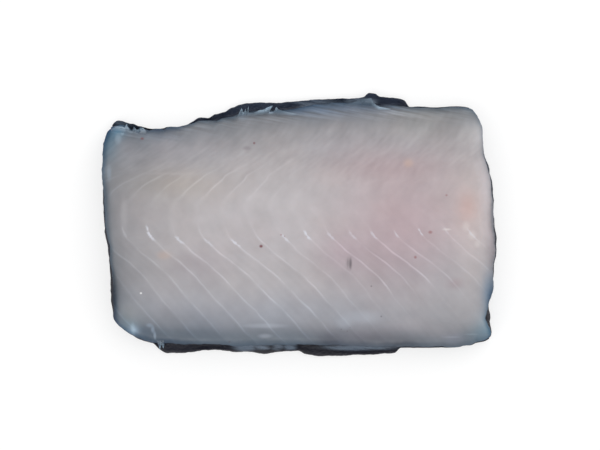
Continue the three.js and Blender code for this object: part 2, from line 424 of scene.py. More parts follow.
# %% Fibres along the back edge
FIBRE_REACH = (10, 3)
FIBRE_SHOW = [(-100, 0.5), (-25, 0.5), (-5, 1), (48, 1), (56, 0.5), (100, 0.5)]
FIBRE_RIDGE = 0.16
FIBRE_SLOPE = 0.2
FIBRE_STRETCH = 0.12
FIBRE_WIDTH = 3.2
from_back = (1 - point_b) * HALF_WIDTH
fibre_show = ease(*FIBRE_REACH, from_back) * curve_through(FIBRE_SHOW, flesh_x) * on_face
fibre_waves = waves(FIBRE_STRETCH * flesh_x, flesh_y + FIBRE_SLOPE * flesh_x, flat, FIBRE_WIDTH, seed=8)
fibre = FIBRE_RIDGE * fibre_show * fibre_waves
print("fibres, mm:", round(fibre.min(), 2), "to", round(fibre.max(), 2))

# %% Push the points along their own direction
SWELL = 0.14
SWELL_POWER = 0.7
SWELL_SHOW = [(-62, 1), (-14, 1), (0, 0.25), (10, 0.25), (20, 0.65), (62, 0.65)]
HOLLOW_DEPTH = 0.7
HOLLOW_Y = 6
HOLLOW_WIDTH = 9
NICK = {"x": 24.7, "y": -19.6, "half_width": 1.1, "half_length": 2.8, "depth": 0.6, "rim": (1.3, 0.3)}
SETTLE_HEIGHT = 1.5
swell = SWELL * np.abs(np.sin(np.pi * line_number)) ** SWELL_POWER * curve_through(SWELL_SHOW, flesh_y)
hollow = HOLLOW_DEPTH * np.exp(-(((flesh_y - HOLLOW_Y) / HOLLOW_WIDTH) ** 2)) * on_face
nick_x = (flesh_x - NICK["x"]) / NICK["half_width"]
nick_y = (flesh_y - NICK["y"]) / NICK["half_length"]
nick = NICK["depth"] * ease(*NICK["rim"], np.hypot(nick_x, nick_y)) * on_face
settle = ease(FLESH_FLOOR, FLESH_FLOOR + SETTLE_HEIGHT, flesh_z)
push = (swell - hollow + ground + fibre - nick) * settle
flesh_points = flesh_points + push[:, None] * point_directions(flesh_points, flesh_quads)
print("push, mm:", round(push.min(), 2), "to", round(push.max(), 2))

# %% [markdown]
# Where the lines show
#
# The white sheets show best on the belly side and where they turn above the midline, and they melt
# into broad streaks towards the back. Along the midline each one ends in a short white tick. A line
# could be a thin mesh of its own, but it lies in the meat and fades into it.
# How strong and how wide it is changes slowly, so both are kept at the points for the finish to use.

# %% How strong the lines are
LINE_ON_LEFT = [
    (-62, 0.25), (-50, 0.75), (-15, 0.68), (-8, 0.42), (0, 0.12), (5, 0.06), (11, 0.08), (15, 0.5),
    (19, 0.7), (23, 0.6), (26, 0.35), (29, 0.18), (34, 0.1), (40, 0.1), (48, 0.05), (54, 0),
]
LINE_ON_RIGHT = [
    (-62, 0.1), (-45, 0.3), (-36, 0.45), (-28, 0.9), (-8, 1), (-2, 0.3), (4, 0.06), (9, 0.08),
    (14, 0.12), (20, 0.15), (26, 0.14), (32, 0.18), (40, 0.22), (46, 0.15), (52, 0),
]
LINE_STRENGTH = [
    (-3, 0.7), (1, 0.9), (2, 1.1), (4, 1.1), (6, 0.7), (7, 0.4), (8, 1.2), (9, 1.1), (10, 1.1), (11, 0.9),
    (12, 0.8), (13, 0.5), (14, 0.3), (15, 0.25),
]
# Where the look of the right half starts and is full: elsewhere, then just above the midline
ABOVE_MIDLINE = [(-62, 0), (5, 0), (12, 1), (25, 1), (32, 0), (62, 0)]
RIGHT_FROM = (-10, -38)
RIGHT_FULL = (40, 6)
BACK_CORNER = {"x": (-32, -52), "y": (23.5, 27), "loss": 0.85}
BELLY_CORNER = {"x": (35, 62), "y": (-27, -36), "loss": 0.75}
MIDDLE = {"y": (-3, 3), "loss": 0.5}
# Each line comes and goes along its way like beads on a string, and in a way of its own
BEADS = {"size": 0.4, "length": 18, "least": 0.3, "lines_apart": 40}


def into_corner(corner):
    """How far into a corner of the face: the eased way along x times the eased way along y."""
    return ease(*corner["x"], flesh_x) * ease(*corner["y"], flesh_y)


above = curve_through(ABOVE_MIDLINE, flesh_y)
right_from, right_full = (low + (high - low) * above for low, high in (RIGHT_FROM, RIGHT_FULL))
to_right = ease(right_from, right_full, flesh_x)
show_left = curve_through(LINE_ON_LEFT, flesh_y)
show_right = curve_through(LINE_ON_RIGHT, flesh_y)
nearest_line = np.round(line_number)
back_fade = 1 - BACK_CORNER["loss"] * into_corner(BACK_CORNER)
belly_fade = 1 - BELLY_CORNER["loss"] * into_corner(BELLY_CORNER)
middle_fade = 1 - MIDDLE["loss"] * to_right * ease(*MIDDLE["y"], flesh_y)
beads = waves(BEADS["lines_apart"] * nearest_line, flesh_y, flat, BEADS["length"], seed=14)
line_show = (show_left + (show_right - show_left) * to_right) * curve_through(LINE_STRENGTH, nearest_line)
line_show *= back_fade * belly_fade * middle_fade
line_show *= np.maximum(BEADS["least"], 1 + BEADS["size"] * beads)
print("strength of the lines: mean", round(line_show.mean(), 2), "and most", round(line_show.max(), 2))

# %% How wide the lines are, and the ticks on them
LINE_HALF = [(-62, 0.5), (-4, 0.5), (4, 1.8), (10, 1.8), (17, 0.5), (24, 0.5), (40, 0.9), (62, 0.9)]
BROAD_CORNER = {"x": (-5, 40), "y": (4, 12), "gain": 0.9}
TICK_SPREAD = 0.3
TICK_EDGE = (1.4, 0.1)
# Line number, middle along y, half length and strength of each tick
TICKS = [
    (0, -4, 3, 0.15), (1, -4.5, 3.9, 0.75), (2, -8, 2, 0.55), (3, -9, 2, 0.45), (4, -9.5, 2, 0.65),
    (5, -8, 2, 0.2), (6, -7, 2, 0.55), (7, -5.5, 2.4, 0.8), (8, -6, 2.2, 0.32), (9, -5.5, 2.2, 0.32),
    (10, -5.5, 2, 0.36), (11, -5, 1.6, 0.45), (12, -4, 1.8, 0.8), (13, -3.2, 1.5, 0.3), (14, -5, 3, 0.4),
]
line_half = curve_through(LINE_HALF, flesh_y) + BROAD_CORNER["gain"] * into_corner(BROAD_CORNER)
tick_show = flat
for number, y, half_length, strength in TICKS:
    near = ((line_number - number) / TICK_SPREAD) ** 2 + ((flesh_y - y) / half_length) ** 2
    tick_show = np.maximum(tick_show, strength * ease(*TICK_EDGE, near))
print("half width of the lines, mm:", round(line_half.min(), 2), "to", round(line_half.max(), 2))

# %% [markdown]
# The slow colours
#
# The flesh is palest in the middle. Towards each edge it darkens and turns blue, partly because it gets
# thinner and the skin shows through, and partly as painted shade of the shoulders that round over away
# from the light. That is one curve for each edge, a share of the pale colour by the distance from that
# edge, all multiplied together. The square of the product's logarithm is small until the flesh is quite
# dark, so taking red away and adding blue by it turns only the dark edges blue. Each muscle segment is
# brightest just right of its white sheet and darkens towards the next one, a painted light and shade as
# on a ridge lit from one side, and fine streaks run along the sheets. Soft patches then shift the colour
# where blood or fat tints it, and lighten or darken it elsewhere, among them painted shade along the
# edges and painted highlights of the wet gleams at the belly corners. Nodes could do all this, but sums
# over whole arrays are easier to read and to tune. They are worked out in screen values, and become
# linear light at the end.

# %% Shade by the distance from each edge
PALE = np.array([178, 173.5, 176])
# Each curve is partly thin flesh over the dark skin and partly painted shade of the rounded shoulder
LEFT_SHADE = [
    (0, 0.41), (1, 0.51), (2, 0.6), (4, 0.725), (7, 0.785), (13, 0.825), (20, 0.87), (30, 0.92), (48, 0.97),
    (75, 1),
]
RIGHT_SHADE = [(0, 0.65), (1, 0.83), (2, 0.9), (4, 0.955), (8, 0.99), (12, 1)]
BACK_SHADE = [
    (0, 0.46), (2, 0.585), (4.5, 0.655), (8.5, 0.72), (13.5, 0.8), (21, 0.875), (31, 0.94), (41, 0.98),
    (50, 1),
]
BELLY_SHADE = [
    (0, 0.44), (1, 0.515), (2, 0.54), (4, 0.575), (6.5, 0.65), (10.5, 0.765), (15.5, 0.845), (23, 0.902),
    (31, 0.94), (41, 0.965), (52, 1),
]
# The walls under the rim get one flat share of the pale colour, a painted shade of the steep cut sides
WALL_SHADE = 0.6
WALL_SHOW = [(-1, 0), (0, 0), (0.3, 1), (0.45, 1), (0.85, 0), (1, 0)]
WALL_RIM = (6, 11)
UNEVEN_REACH = (0, 4)
UNEVEN_LENGTH = 30
DARK_TO_BLUE = np.array([-0.32, 0.02, 0.26])
DULL_REACH = (4, 1)
from_left = (1 + point_a) * HALF_LENGTH
from_right = (1 - point_a) * HALF_LENGTH
from_belly = (1 + point_b) * HALF_WIDTH
shade = curve_through(LEFT_SHADE, from_left) * curve_through(RIGHT_SHADE, from_right)
uneven = ease(*UNEVEN_REACH, from_back) * waves(flesh_x, flesh_y, flat, UNEVEN_LENGTH, seed=9)
shade *= curve_through(BACK_SHADE, from_back + uneven) * curve_through(BELLY_SHADE, from_belly)
wall_share = curve_through(WALL_SHOW, level) * ease(*WALL_RIM, rim)
shade += (WALL_SHADE - shade) * wall_share
screen_tone = PALE * shade[:, None] * np.exp(DARK_TO_BLUE * np.log(shade[:, None]) ** 2)
nearest_edge = np.min([from_left, from_right, from_back, from_belly], axis=0)
dull_edge = ease(*DULL_REACH, nearest_edge)
print("shade:", round(shade.min(), 2), "to", round(shade.max(), 2))

# %% Brighter and darker along the segments
SEGMENT_SHADE = [(-62, 1.2), (-50, 2.7), (-14, 2.6), (-4, 1.8), (10, 1.6), (22, 1.7), (28, 0), (60, 0)]
STREAK_SHADE = [(-62, 1), (-14, 1), (0, 0.5), (14, 0.7), (24, 1.4), (30, 2.4), (46, 2.4), (56, 1)]
SEGMENT_BRIGHT = 2
SEGMENT_POWER = 1.6
SEGMENT_MEAN = 0.75
SEGMENT_RISE = [(-62, 0.87), (-6, 0.87), (2, 0.68), (14, 0.68), (24, 0.87), (62, 0.87)]
RIGHT_LOSS = 0.45
STREAKS_ACROSS = 9
STREAKS = [
    {"size": 1, "along": 0.3, "length": 6, "seed": 12, "count": 30},
    {"size": 0.7, "along": 0.14, "length": 13, "seed": 13, "count": 20},
]
WALL_FADE = 0.85


def streaks(size, along, length, seed, count):
    """Waves that change quickly from sheet to sheet and slowly along the sheets."""
    slowly = along * (flesh_x + flesh_y)
    return size * waves(STREAKS_ACROSS * line_number, slowly, flat, length, seed, count)


# Painted light and shade: each segment brightest just right of its sheet, darker towards the next
fraction = line_number % 1
falling = SEGMENT_BRIGHT * (1 - fraction) ** SEGMENT_POWER - SEGMENT_MEAN
rising = SEGMENT_BRIGHT * ease(curve_through(SEGMENT_RISE, flesh_y), 1, fraction)
segment = (falling + rising) * (1 - RIGHT_LOSS * to_right) * belly_fade * middle_fade
streak = sum(streaks(**kind) for kind in STREAKS)
segment_shade_and_streaks = curve_through(SEGMENT_SHADE, flesh_y) * segment + curve_through(STREAK_SHADE, flesh_y) * streak
tint_share = 1 - WALL_FADE * wall_share
screen_tone = screen_tone + (tint_share * segment_shade_and_streaks)[:, None]
print("segments and streaks, screen values:", round(segment_shade_and_streaks.min(), 1), "to", round(segment_shade_and_streaks.max(), 1))

# %% Patches of tint
# Middle and reach along x and y, and the shift of red, green and blue
# Blood and fat tint some patches; others lighten or darken the flesh, among them painted shade at the edges
TINTS = {
    "middle": [
        (52, 2, 32, 26, (-5, -18, -16)), (42, -20, 26, 16, (-8, -10, -8)),
        (20, -14, 12, 10, (-3, -8, -6)), (45, 30, 30, 9, (0, -8, -8)), (-62, 20, 22, 8, (0, -2, -7)),
        (-22, -8, 22, 14, (-4, -4, -3)), (76, -28, 18, 18, (-5, -3, -2)),
        (78, -29.5, 4, 2.6, (-6, -12, -12)), (-50, -20, 14, 9, (-7, -8, -6)),
        (-75, -36, 14, 9, (9, 8, 8)),
    ],
    "back": [
        (-58, 36, 24, 9, (6, 6, 7)), (10, 38, 11, 8, (4, 5, 6)), (50, 37, 11, 8, (3, 5, 6)),
        (-66, 51, 13, 5, (-7, -7, -5)), (22, 58, 18, 4.5, (-10, -6, 0)),
        (0, 57.5, 12, 3.5, (-16, -10, -3)), (43, 57.5, 7, 3, (13, 12, 12)),
        (-29, 54, 2.5, 2.5, (8, 10, 12)), (25, 38, 16, 10, (-4, -4, -3)), (60, 50, 18, 8, (13, 12, 9)),
        (68, 56, 15, 5, (14, 10, 6)), (-23, 56, 4, 1.6, (-16, -14, -12)),
        (-70, 40, 8, 6, (12, 10, 10)), (-50, 40, 14, 7, (6, 5, 5)), (-70, 47, 7, 4, (-13, -11, -7)),
    ],
    "belly": [
        (10, -51, 10, 5, (6, 5, 4)), (78, -57.3, 5, 3, (11, 10, 13)),
        (-77, -54, 3.6, 3.2, (-6, -5, -3)), (15, -58.5, 6, 4, (-19, -20, -19)),
        (35, -58, 8, 3, (-10, -11, -11)), (-65, -59.5, 9, 2.5, (-10, -10, -8)),
        (-20, -46, 80, 14, (-5, 0, 5)), (30, -57, 22, 5, (4, -2, -2)),
        (52, -60, 9, 2.6, (-18, -20, -20)), (54, -51, 12, 4, (9, 7, 7)),
        (69, -56, 11, 4, (16, 13, 12)), (-50, -52, 14, 8, (-12, -10, -8)),
    ],
    "left end": [
        # The first two are a painted highlight, the wet gleam at the belly corner
        (-86, -51, 5, 3.5, (16, 20, 21)), (-83.3, -53.4, 2.6, 2.4, (50, 56, 62)),
        (-87, -46, 8, 7, (22, 20, 16)), (-94, -36, 3.2, 11, (-52, -54, -54)),
        (-92, -46, 3, 4, (9, 6, 5)), (-96, 42, 5, 10, (-12, 4, 12)), (-98.3, 27, 3, 6, (20, 20, 20)),
        (-87, 40, 7, 7, (12, 10, 10)), (-91.5, 46.5, 4, 3.5, (2, 20, 28)),
    ],
    "right end": [
        (86, 4, 9, 26, (6, 3, 0)), (84, 9, 5, 8, (4, -6, -9)), (86, 50, 8, 10, (16, 16, 15)),
        (90.5, 44, 4, 8, (26, 25, 25)), (94, 20, 4, 20, (12, 12, 14)),
        (95, -35, 3.6, 10, (-50, -29, -13)), (96.5, -9, 3, 13, (-6, -8, -6)),
        (96.5, -16, 3, 7, (-12, -12, -12)), (95.8, -38, 1.9, 8, (-24, -24, -22)),
        # The first of these is a painted highlight at the belly corner
        (94, -54, 8, 7, (6, 20, 25)), (93, -46, 4, 4, (6, 9, 11)),
    ],
}


def soft_patch(x, y, middle_x, middle_y, reach_x, reach_y):
    """An oval patch: the bell curve of the distances along x and y, each as a share of its reach."""
    return np.exp(-(((x - middle_x) / reach_x) ** 2) - ((y - middle_y) / reach_y) ** 2)


def to_linear(screen):
    """Screen values from 0 to 255 as the linear light that a shader takes.

    The usual curve of screens: a short straight start, then a power of 2.4.
    """
    share = np.clip(np.asarray(screen, float) / 255, 0, 1)
    return np.where(share <= 0.04045, share / 12.92, ((share + 0.055) / 1.055) ** 2.4)


for *patch, shift in sum(TINTS.values(), []):
    patch_share = tint_share * soft_patch(flesh_x, flesh_y, *patch)
    screen_tone = screen_tone + patch_share[:, None] * np.array(shift)
flesh_tone = to_linear(screen_tone)
print("tone, mean screen value:", np.round(screen_tone.mean(0)))

# %% [markdown]
# Arrays into a mesh
#
# A mesh can be made point by point with bmesh, but that is slow for a hundred thousand of them.
# foreach_set copies a whole numpy array into a mesh in one call. The faces of four corners come first
# and the closing faces, which may have any number of corners, come last.

# %% Make a mesh piece from arrays
SHARP_ANGLE = np.radians(70)


def piece_from_arrays(name, points, quads, closing_faces=()):
    """A smooth mesh object from points in millimetres, four cornered faces and a few closing faces.

    Each face starts where the corner counts of the faces before it add up to.
    """
    mesh = bpy.data.meshes.new(name)
    corners = np.concatenate([quads.ravel(), *closing_faces]).astype(np.int32)
    closing_counts = [len(face) for face in closing_faces]
    counts = np.concatenate([np.full(len(quads), 4), closing_counts]).astype(np.int32)
    mesh.vertices.add(len(points))
    mesh.vertices.foreach_set("co", (points * MM).astype(np.float32).ravel())
    mesh.loops.add(len(corners))
    mesh.loops.foreach_set("vertex_index", corners)
    mesh.polygons.add(len(counts))
    mesh.polygons.foreach_set("loop_start", np.concatenate([[0], counts.cumsum()[:-1]]).astype(np.int32))
    mesh.polygons.foreach_set("use_smooth", np.ones(len(counts), bool))
    mesh.update(calc_edges=True)
    mesh.validate()
    mesh.set_sharp_from_angle(angle=SHARP_ANGLE)
    mesh.calc_loop_triangles()
    piece = bpy.data.objects.new(name, mesh)
    bpy.context.collection.objects.link(piece)
    print(name, "triangles:", len(mesh.loop_triangles))
    return piece


def keep_at_points(piece, name, values):
    """Stores one number, or three, for each point of the piece, under a name that a material can read."""
    kind, field = ("FLOAT", "value") if values.ndim == 1 else ("FLOAT_VECTOR", "vector")
    attribute = piece.data.attributes.new(name, kind, "POINT")
    attribute.data.foreach_set(field, values.astype(np.float32).ravel())


flesh = piece_from_arrays("fillet_flesh", flesh_points, flesh_quads, [underside])
keep_at_points(flesh, "muscle", np.stack([line_number, line_reach, line_show], 1))
keep_at_points(flesh, "lines", np.stack([line_half, tick_show, fibre_show], 1))
keep_at_points(flesh, "tone", flesh_tone)
keep_at_points(flesh, "dull_edge", dull_edge)

# %% [markdown]
# The skin
#
# The skin is a leathery sheet under the whole slab. It is wider than the flesh along the back and the
# belly, where it shows from above as dark ragged flaps that lift a little off the table. A flat sheet
# with a Solidify modifier would have the same blunt edge everywhere. So it is made as two grids, the
# inner face and the outer face, that come close in a thin edge all the way round.

# %% How far the skin reaches past the flesh
BACK_FLAP = [
    (-100, 0.2), (-95.6, 0.3), (-94.8, 1), (-93.3, 2.1), (-91.8, 2.6), (-88, 2.4), (-84, 2.6), (-81, 2.2),
    (-78, 1.2), (-74, 0.3), (-57, 0.2), (-54, 1.2), (-50.4, 2), (-46.4, 1.6), (-42.3, 3.4), (-38.3, 3.1),
    (-34.2, 4.6), (-30, 4.4), (-26, 4.7), (-12, 4), (2, 3.2), (20, 2.7), (29, 3), (32.6, 4),
    (33.7, 5.2), (35, 6), (36.8, 6.2), (38.4, 6), (39.3, 5.3), (40.4, 4.8), (52.6, 3.8), (55.4, 0.6),
    (60, 0.9), (68, 0.5), (100, 0.5),
]
BELLY_FLAP = [
    (-100, 0.5), (-74, 0.6), (-71, 3), (-66.7, 5.1), (-54.5, 4.1), (-48, 3), (-42.4, 2.6), (-34, 3.3),
    (-26, 3.5), (-18, 4.7), (-10, 3.9), (-4, 3.4), (-0.5, 3.6), (2.3, 5), (10.4, 6), (18.5, 5.8), (28, 4.5),
    (40, 3.7), (47.6, 3.2), (51, 0.6), (100, 0.5),
]
LEFT_LIP = [
    (-62, 0.4), (-50, 0.9), (-44, 1.2), (-36, 1.8), (-28, 1.5), (-20, 1.05), (20, 1), (25, 0.6),
    (29, 0.3), (62, 0.3),
]
RIGHT_LIP = [
    (-62, 0.4), (-53, 0.7), (-49, 2.3), (-46.6, 3.3), (-44.2, 2.3), (-41, 0.9), (-28, 0.8), (-20, 1),
    (-14, 1.25), (30, 1.2), (36, 0.9), (40, 0.6), (46, 0.4), (62, 0.3),
]
BACK_LIFT = [
    (-100, 4), (-84, 2.4), (-60, 0.4), (-28, 2.4), (10, 1.8), (37, 3.4), (51, 2), (56, 0.2), (100, 0.2),
]
BELLY_LIFT = [
    (-100, 0.2), (-75, 0.2), (-66, 1.2), (-20, 0.6), (18, 1.6), (48, 0.8), (53, 0.2), (100, 0.2),
]
reaches = {"left": LEFT_LIP, "right": RIGHT_LIP, "back": BACK_FLAP, "belly": BELLY_FLAP}
print("longest reach past the flesh, mm:", largest(reaches))

# %% The middle of the sheet of skin
FLAP_RAGGED = 0.2
FLAP_WAVES = (13, 7, 4.1, 2.3)
FLAP_LEAST = 0.2
FLAP_TORN_FROM = 2
LIP_RAGGED = 0.3
LIP_WAVES = (9, 5, 3, 2)
SKIN_WANDER = 0.3
FLAP_START = 0.72
SKIN_CELLS = (420, 84)


def skin_middle(u, v):
    """The sheet's middle: the flesh's plan and a lip past each end, then a flap past each long edge.

    A flap lifts as the square of its reach. Where it is short, its ragged edge is lower as well.
    """
    x, y = flesh_plan(u, np.clip(v / FLAP_START, -1, 1), torn=SKIN_WANDER)
    lip = np.where(u < 0, curve_through(LEFT_LIP, y), curve_through(RIGHT_LIP, y))
    lip = lip + ragged(y + LENGTH * np.sign(u), LIP_RAGGED, 13, LIP_WAVES)
    past = np.maximum(0, (np.abs(v) - FLAP_START) / (1 - FLAP_START))
    flap = np.where(v < 0, curve_through(BELLY_FLAP, x), curve_through(BACK_FLAP, x))
    torn = ragged(x + WIDTH * np.sign(v), FLAP_RAGGED, 11, FLAP_WAVES)
    reach = past * np.maximum(FLAP_LEAST, flap + torn * np.minimum(1, flap / FLAP_TORN_FROM))
    lift = past**2 * np.where(v < 0, curve_through(BELLY_LIFT, x), curve_through(BACK_LIFT, x))
    return np.stack([x + u * lip, y + np.sign(v) * reach, lift + SKIN_THICKNESS / 2], -1)


line_u = np.linspace(-1, 1, SKIN_CELLS[0])
line_v = np.linspace(-1, 1, SKIN_CELLS[1])
skin_u, skin_v = np.meshgrid(line_u, line_v, indexing="ij")
middle = skin_middle(skin_u, skin_v)
print("skin from", np.round(middle.min((0, 1)), 1), "to", np.round(middle.max((0, 1)), 1), "mm")

# %% The inner and the outer face of the skin
FLAP_SPAN = 18
EDGE_TAPER = 1.5
EDGE_SHARE = 0.35
PEBBLE = {"size": 0.05, "length": 5}
to_edge = np.minimum((1 - np.abs(skin_v)) * FLAP_SPAN, (1 - np.abs(skin_u)) * HALF_LENGTH)
taper = EDGE_SHARE + (1 - EDGE_SHARE) * np.sqrt(np.clip(to_edge / EDGE_TAPER, 0, 1))
half_thick = SKIN_THICKNESS / 2 * taper
pebbles = waves(middle[..., 0], middle[..., 1], 0 * skin_u, PEBBLE["length"], seed=12)
dents = PEBBLE["size"] * np.maximum(0, pebbles)
upward = np.array([0, 0, 1])
inner = middle + half_thick[..., None] * upward
outer = middle - (half_thick - dents)[..., None] * upward
print("skin is", round(2 * half_thick.min(), 2), "to", round(2 * half_thick.max(), 2), "mm thick")

# %% Join the two faces of a sheet
def closed_sheet(upper, lower):
    """Two grids of points, one above the other, joined all round their edge into one closed mesh."""
    count = upper[..., 0].size
    grid = np.arange(count).reshape(upper.shape[:2])
    edge = outer_ring(grid)
    edge = np.append(edge, edge[0])
    edge_quads = grid_quads(np.stack([edge, edge + count]))
    points = np.concatenate([upper.reshape(-1, 3), lower.reshape(-1, 3)])
    return points, np.concatenate([grid_quads(grid), grid_quads(grid + count)[:, ::-1], edge_quads])


skin_points, skin_quads = closed_sheet(inner, outer)
skin = piece_from_arrays("fillet_skin", skin_points, skin_quads)

# %% Where film lies on the skin
# Middle and reach along x and y, and the strength of each patch
FILM_PATCHES = [
    (10, 61.5, 14, 1.8, 0.6), (31, 62, 8, 1.7, 1), (3.5, 59.6, 4.5, 1.3, 0.6), (-10, 60.5, 8, 2, 0.2),
    (46, 60, 6, 1.5, 0.4), (-90, 51, 6.5, 3, 0.65), (-28, -62.4, 6, 2.2, 1), (-19, -62.2, 5, 1.6, 0.7),
    (-11, -62.2, 4, 1.6, 0.7), (-5, -62.3, 3.5, 1.6, 0.9), (30, -62.4, 18, 1.5, 0.95),
]
BROWN_TO_BLUE = (-50, 50)
skin_x, skin_y, _ = skin_points.T
film_share = np.zeros_like(skin_x)
for *patch, strength in FILM_PATCHES:
    film_share = np.maximum(film_share, strength * soft_patch(skin_x, skin_y, *patch))
film_share[skin_u.size:] = 0
keep_at_points(skin, "toward_back", ease(*BROWN_TO_BLUE, skin_y))
keep_at_points(skin, "film", film_share)
print("share of film on the skin: mean", round(film_share.mean(), 3), "and most", round(film_share.max(), 2))

# %% [markdown]
# Torn film
#
# Where the slab was pulled from its neighbour, a white film still clings to the thin edges and lies in
# tatters on the dark skin. Each tatter is a thin sheet between two broken lines, the root line where it
# grows out of the flesh and the torn edge. Straight strips from one line to the other make the spikes.
# The sheet follows the flesh and then the skin under it, with its root sunk in. There it has the tone of
# the flesh, so that no seam shows, and it gets paler towards the torn edge. A see-through picture of
# tatters would look flat from the side, and these are sheets with a thickness of their own.

# %% The roots and torn edges of the tatters
# The root's x and y, the torn edge's x and y, and how pale the edge is
TATTERS = {
    "back edge": [
        (-32, 53, -31.6, 54.4, 0), (-30.6, 53.6, -30, 57.6, 0.7), (-29.8, 53.8, -29.4, 58.8, 0.8),
        (-29, 53.9, -28.3, 56.4, 0.6), (-28.2, 54, -27.4, 58.4, 0.8), (-27.6, 54, -26.9, 56.8, 0.5),
        (-27.2, 54, -25.9, 59.8, 0.8), (-26.6, 54, -25.8, 56.4, 0.3), (-23.5, 54.4, -23.3, 56.4, 0.15),
        (-21, 54.8, -20.5, 57.6, 0.8), (-19, 55, -18, 58.2, 1), (-17.5, 55.2, -16.2, 59.2, 1.1),
        (-16.5, 55.2, -13.6, 60.1, 1), (-15.8, 55.2, -15.4, 56.8, 0.8), (-14, 55.2, -13.2, 56.6, 0.4),
        (-13, 55.2, -11.9, 59.4, 0.7), (-11.5, 55.2, -10.8, 58.2, 0.4), (-9, 55, -8.8, 57.4, 0.25),
        (-6.5, 54.8, -6.3, 56.6, 0.35), (-3.5, 54.5, -3.3, 56, 0.4), (0, 54.5, 0, 55.2, 0),
    ],
    "back edge, right": [
        (22, 59.4, 23, 60.6, 0), (30, 59.6, 30, 62.6, 0.3), (33, 59.4, 33, 63.4, 0.35),
        (35, 59, 36.2, 63.8, 0.4), (36.5, 58.4, 37.3, 61.6, 0.5), (38, 57.8, 38.8, 60.2, 0.7),
        (39.5, 57.2, 40.4, 59.3, 1.2), (41.5, 57.2, 42.5, 58.9, 1), (45, 57.2, 46, 58.2, 0.3),
    ],
    "back corner, left": [
        (-95, 46.6, -95.4, 49.2, 0), (-92, 46, -92, 49.4, 0.4), (-89.5, 45.8, -89.4, 49.2, 0.6),
        (-88.2, 45.6, -88.2, 48.6, 0.6), (-87.2, 45.6, -87.6, 51, 0.9), (-86.4, 45.4, -86.6, 49, 0.6),
        (-85.4, 45.2, -85.4, 47.2, 0.3), (-84.4, 45, -84.4, 47.2, 0.3), (-83.6, 45, -84, 49.5, 0.8),
        (-82.4, 44.8, -82.4, 47.7, 0.5), (-81.4, 45, -81.3, 48.4, 0.7), (-80.3, 45, -80.4, 49.3, 0.8),
        (-78.8, 45, -78.6, 48.3, 0.5), (-77.4, 45, -77.3, 46.8, 0),
    ],
    "belly corner, left": [
        (-68.5, -58, -68.2, -60.2, 0), (-69.6, -58, -69, -62.9, 1), (-70.4, -58, -70, -60.8, 0.6),
        (-71, -58, -70.8, -63.6, 1), (-72, -58, -71.8, -60, 0.2),
    ],
}
print("strips in each tatter:", {name: len(rows) for name, rows in TATTERS.items()})

# %% What lies under a tatter
BOX_MARGIN = 3
NEAR_LIMIT = 0.01
PAST_FACE = (0.4, 1)


def near_points(points, x, y):
    """Which points lie in the box round x and y, and how far each place is from each of them."""
    near_x = np.abs(points[:, 0] - x.mean()) < np.ptp(x) / 2 + BOX_MARGIN
    near_y = np.abs(points[:, 1] - y.mean()) < np.ptp(y) / 2 + BOX_MARGIN
    near = np.flatnonzero(near_x & near_y)
    return near, np.hypot(points[near, 0] - x[..., None], points[near, 1] - y[..., None])


def mean_near(values, distance):
    """The mean of the values, each weighed by one over the fourth power of its distance.

    A small limit keeps the weight of a point that is hit from growing without end.
    """
    weight = 1 / (distance**2 + NEAR_LIMIT) ** 2
    return weight @ values / weight.sum(-1, keepdims=True)


def top_under(x, y):
    """Height and tone under x and y: the boned face as far as it goes, and the skin past its edge."""
    face = flesh_points[on_face]
    bed = skin_points[: skin_u.size]
    face_near, face_distance = near_points(face, x, y)
    bed_near, bed_distance = near_points(bed, x, y)
    face_z = mean_near(face[face_near, 2:], face_distance)[..., 0]
    bed_z = mean_near(bed[bed_near, 2:], bed_distance)[..., 0]
    past = ease(*PAST_FACE, face_distance.min(-1))
    return face_z + (bed_z - face_z) * past, mean_near(flesh_tone[on_face][face_near], face_distance)


root_of_first = np.array(TATTERS["back edge"][0][:2])
print("height under the first root, mm:", np.round(top_under(*root_of_first[:, None])[0], 1))

# %% Sheets of torn film
TATTER_STEPS = 6
TATTER_ROWS = 9
TATTER_HALF = 0.05
TATTER_LIFT = 0.12
ROOT_SINK = 0.3
ROOT_SHARE = 0.2
PALE_FROM = 0.1


def torn_sheet(rows):
    """A thin sheet that runs straight from a broken root line, at t = 0, to a torn edge, at t = 1.

    The rows are joined by straight lines, and the sheet lies a little above what is under it.
    """
    along = np.linspace(0, len(rows) - 1, TATTER_STEPS * (len(rows) - 1) + 1)
    strips = np.arange(len(rows))
    columns = [np.interp(along, strips, column)[:, None] for column in np.array(rows, float).T]
    root_x, root_y, edge_x, edge_y, edge_pale = columns
    t = np.linspace(0, 1, TATTER_ROWS)
    x = root_x + (edge_x - root_x) * t
    y = root_y + (edge_y - root_y) * t
    top, tone = top_under(x, y)
    z = top + TATTER_LIFT - ROOT_SINK * ease(ROOT_SHARE, 0, t)
    upper = np.stack([x, y, z + TATTER_HALF], -1)
    lower = np.stack([x, y, z - TATTER_HALF], -1)
    points, quads = closed_sheet(upper, lower)
    pale = edge_pale * ease(PALE_FROM, 1, t)
    return points, quads, np.tile(pale.ravel(), 2), np.tile(tone.reshape(-1, 3), (2, 1))


parts = [torn_sheet(rows) for rows in TATTERS.values()]
sheet_points, sheet_quads, sheet_pale, sheet_tone = zip(*parts)
first_point = np.cumsum([0] + [len(points) for points in sheet_points])
shred_quads = np.concatenate([quads + first for quads, first in zip(sheet_quads, first_point)])
shreds = piece_from_arrays("film_shreds", np.concatenate(sheet_points), shred_quads)
keep_at_points(shreds, "pale", np.concatenate(sheet_pale))
keep_at_points(shreds, "tone", np.concatenate(sheet_tone))

# %% [markdown]
# Finishes that the layers share
#
# Wet meat, wet skin and wet film have two things in common: a fine mottling of the colour, and a film
# of moisture that is shinier in some places than in others. They could be built again in every
# material, but a node group is built once and placed in all three with its own sizes. A third group
# paints one soft spot, because the flesh has dozens of them.

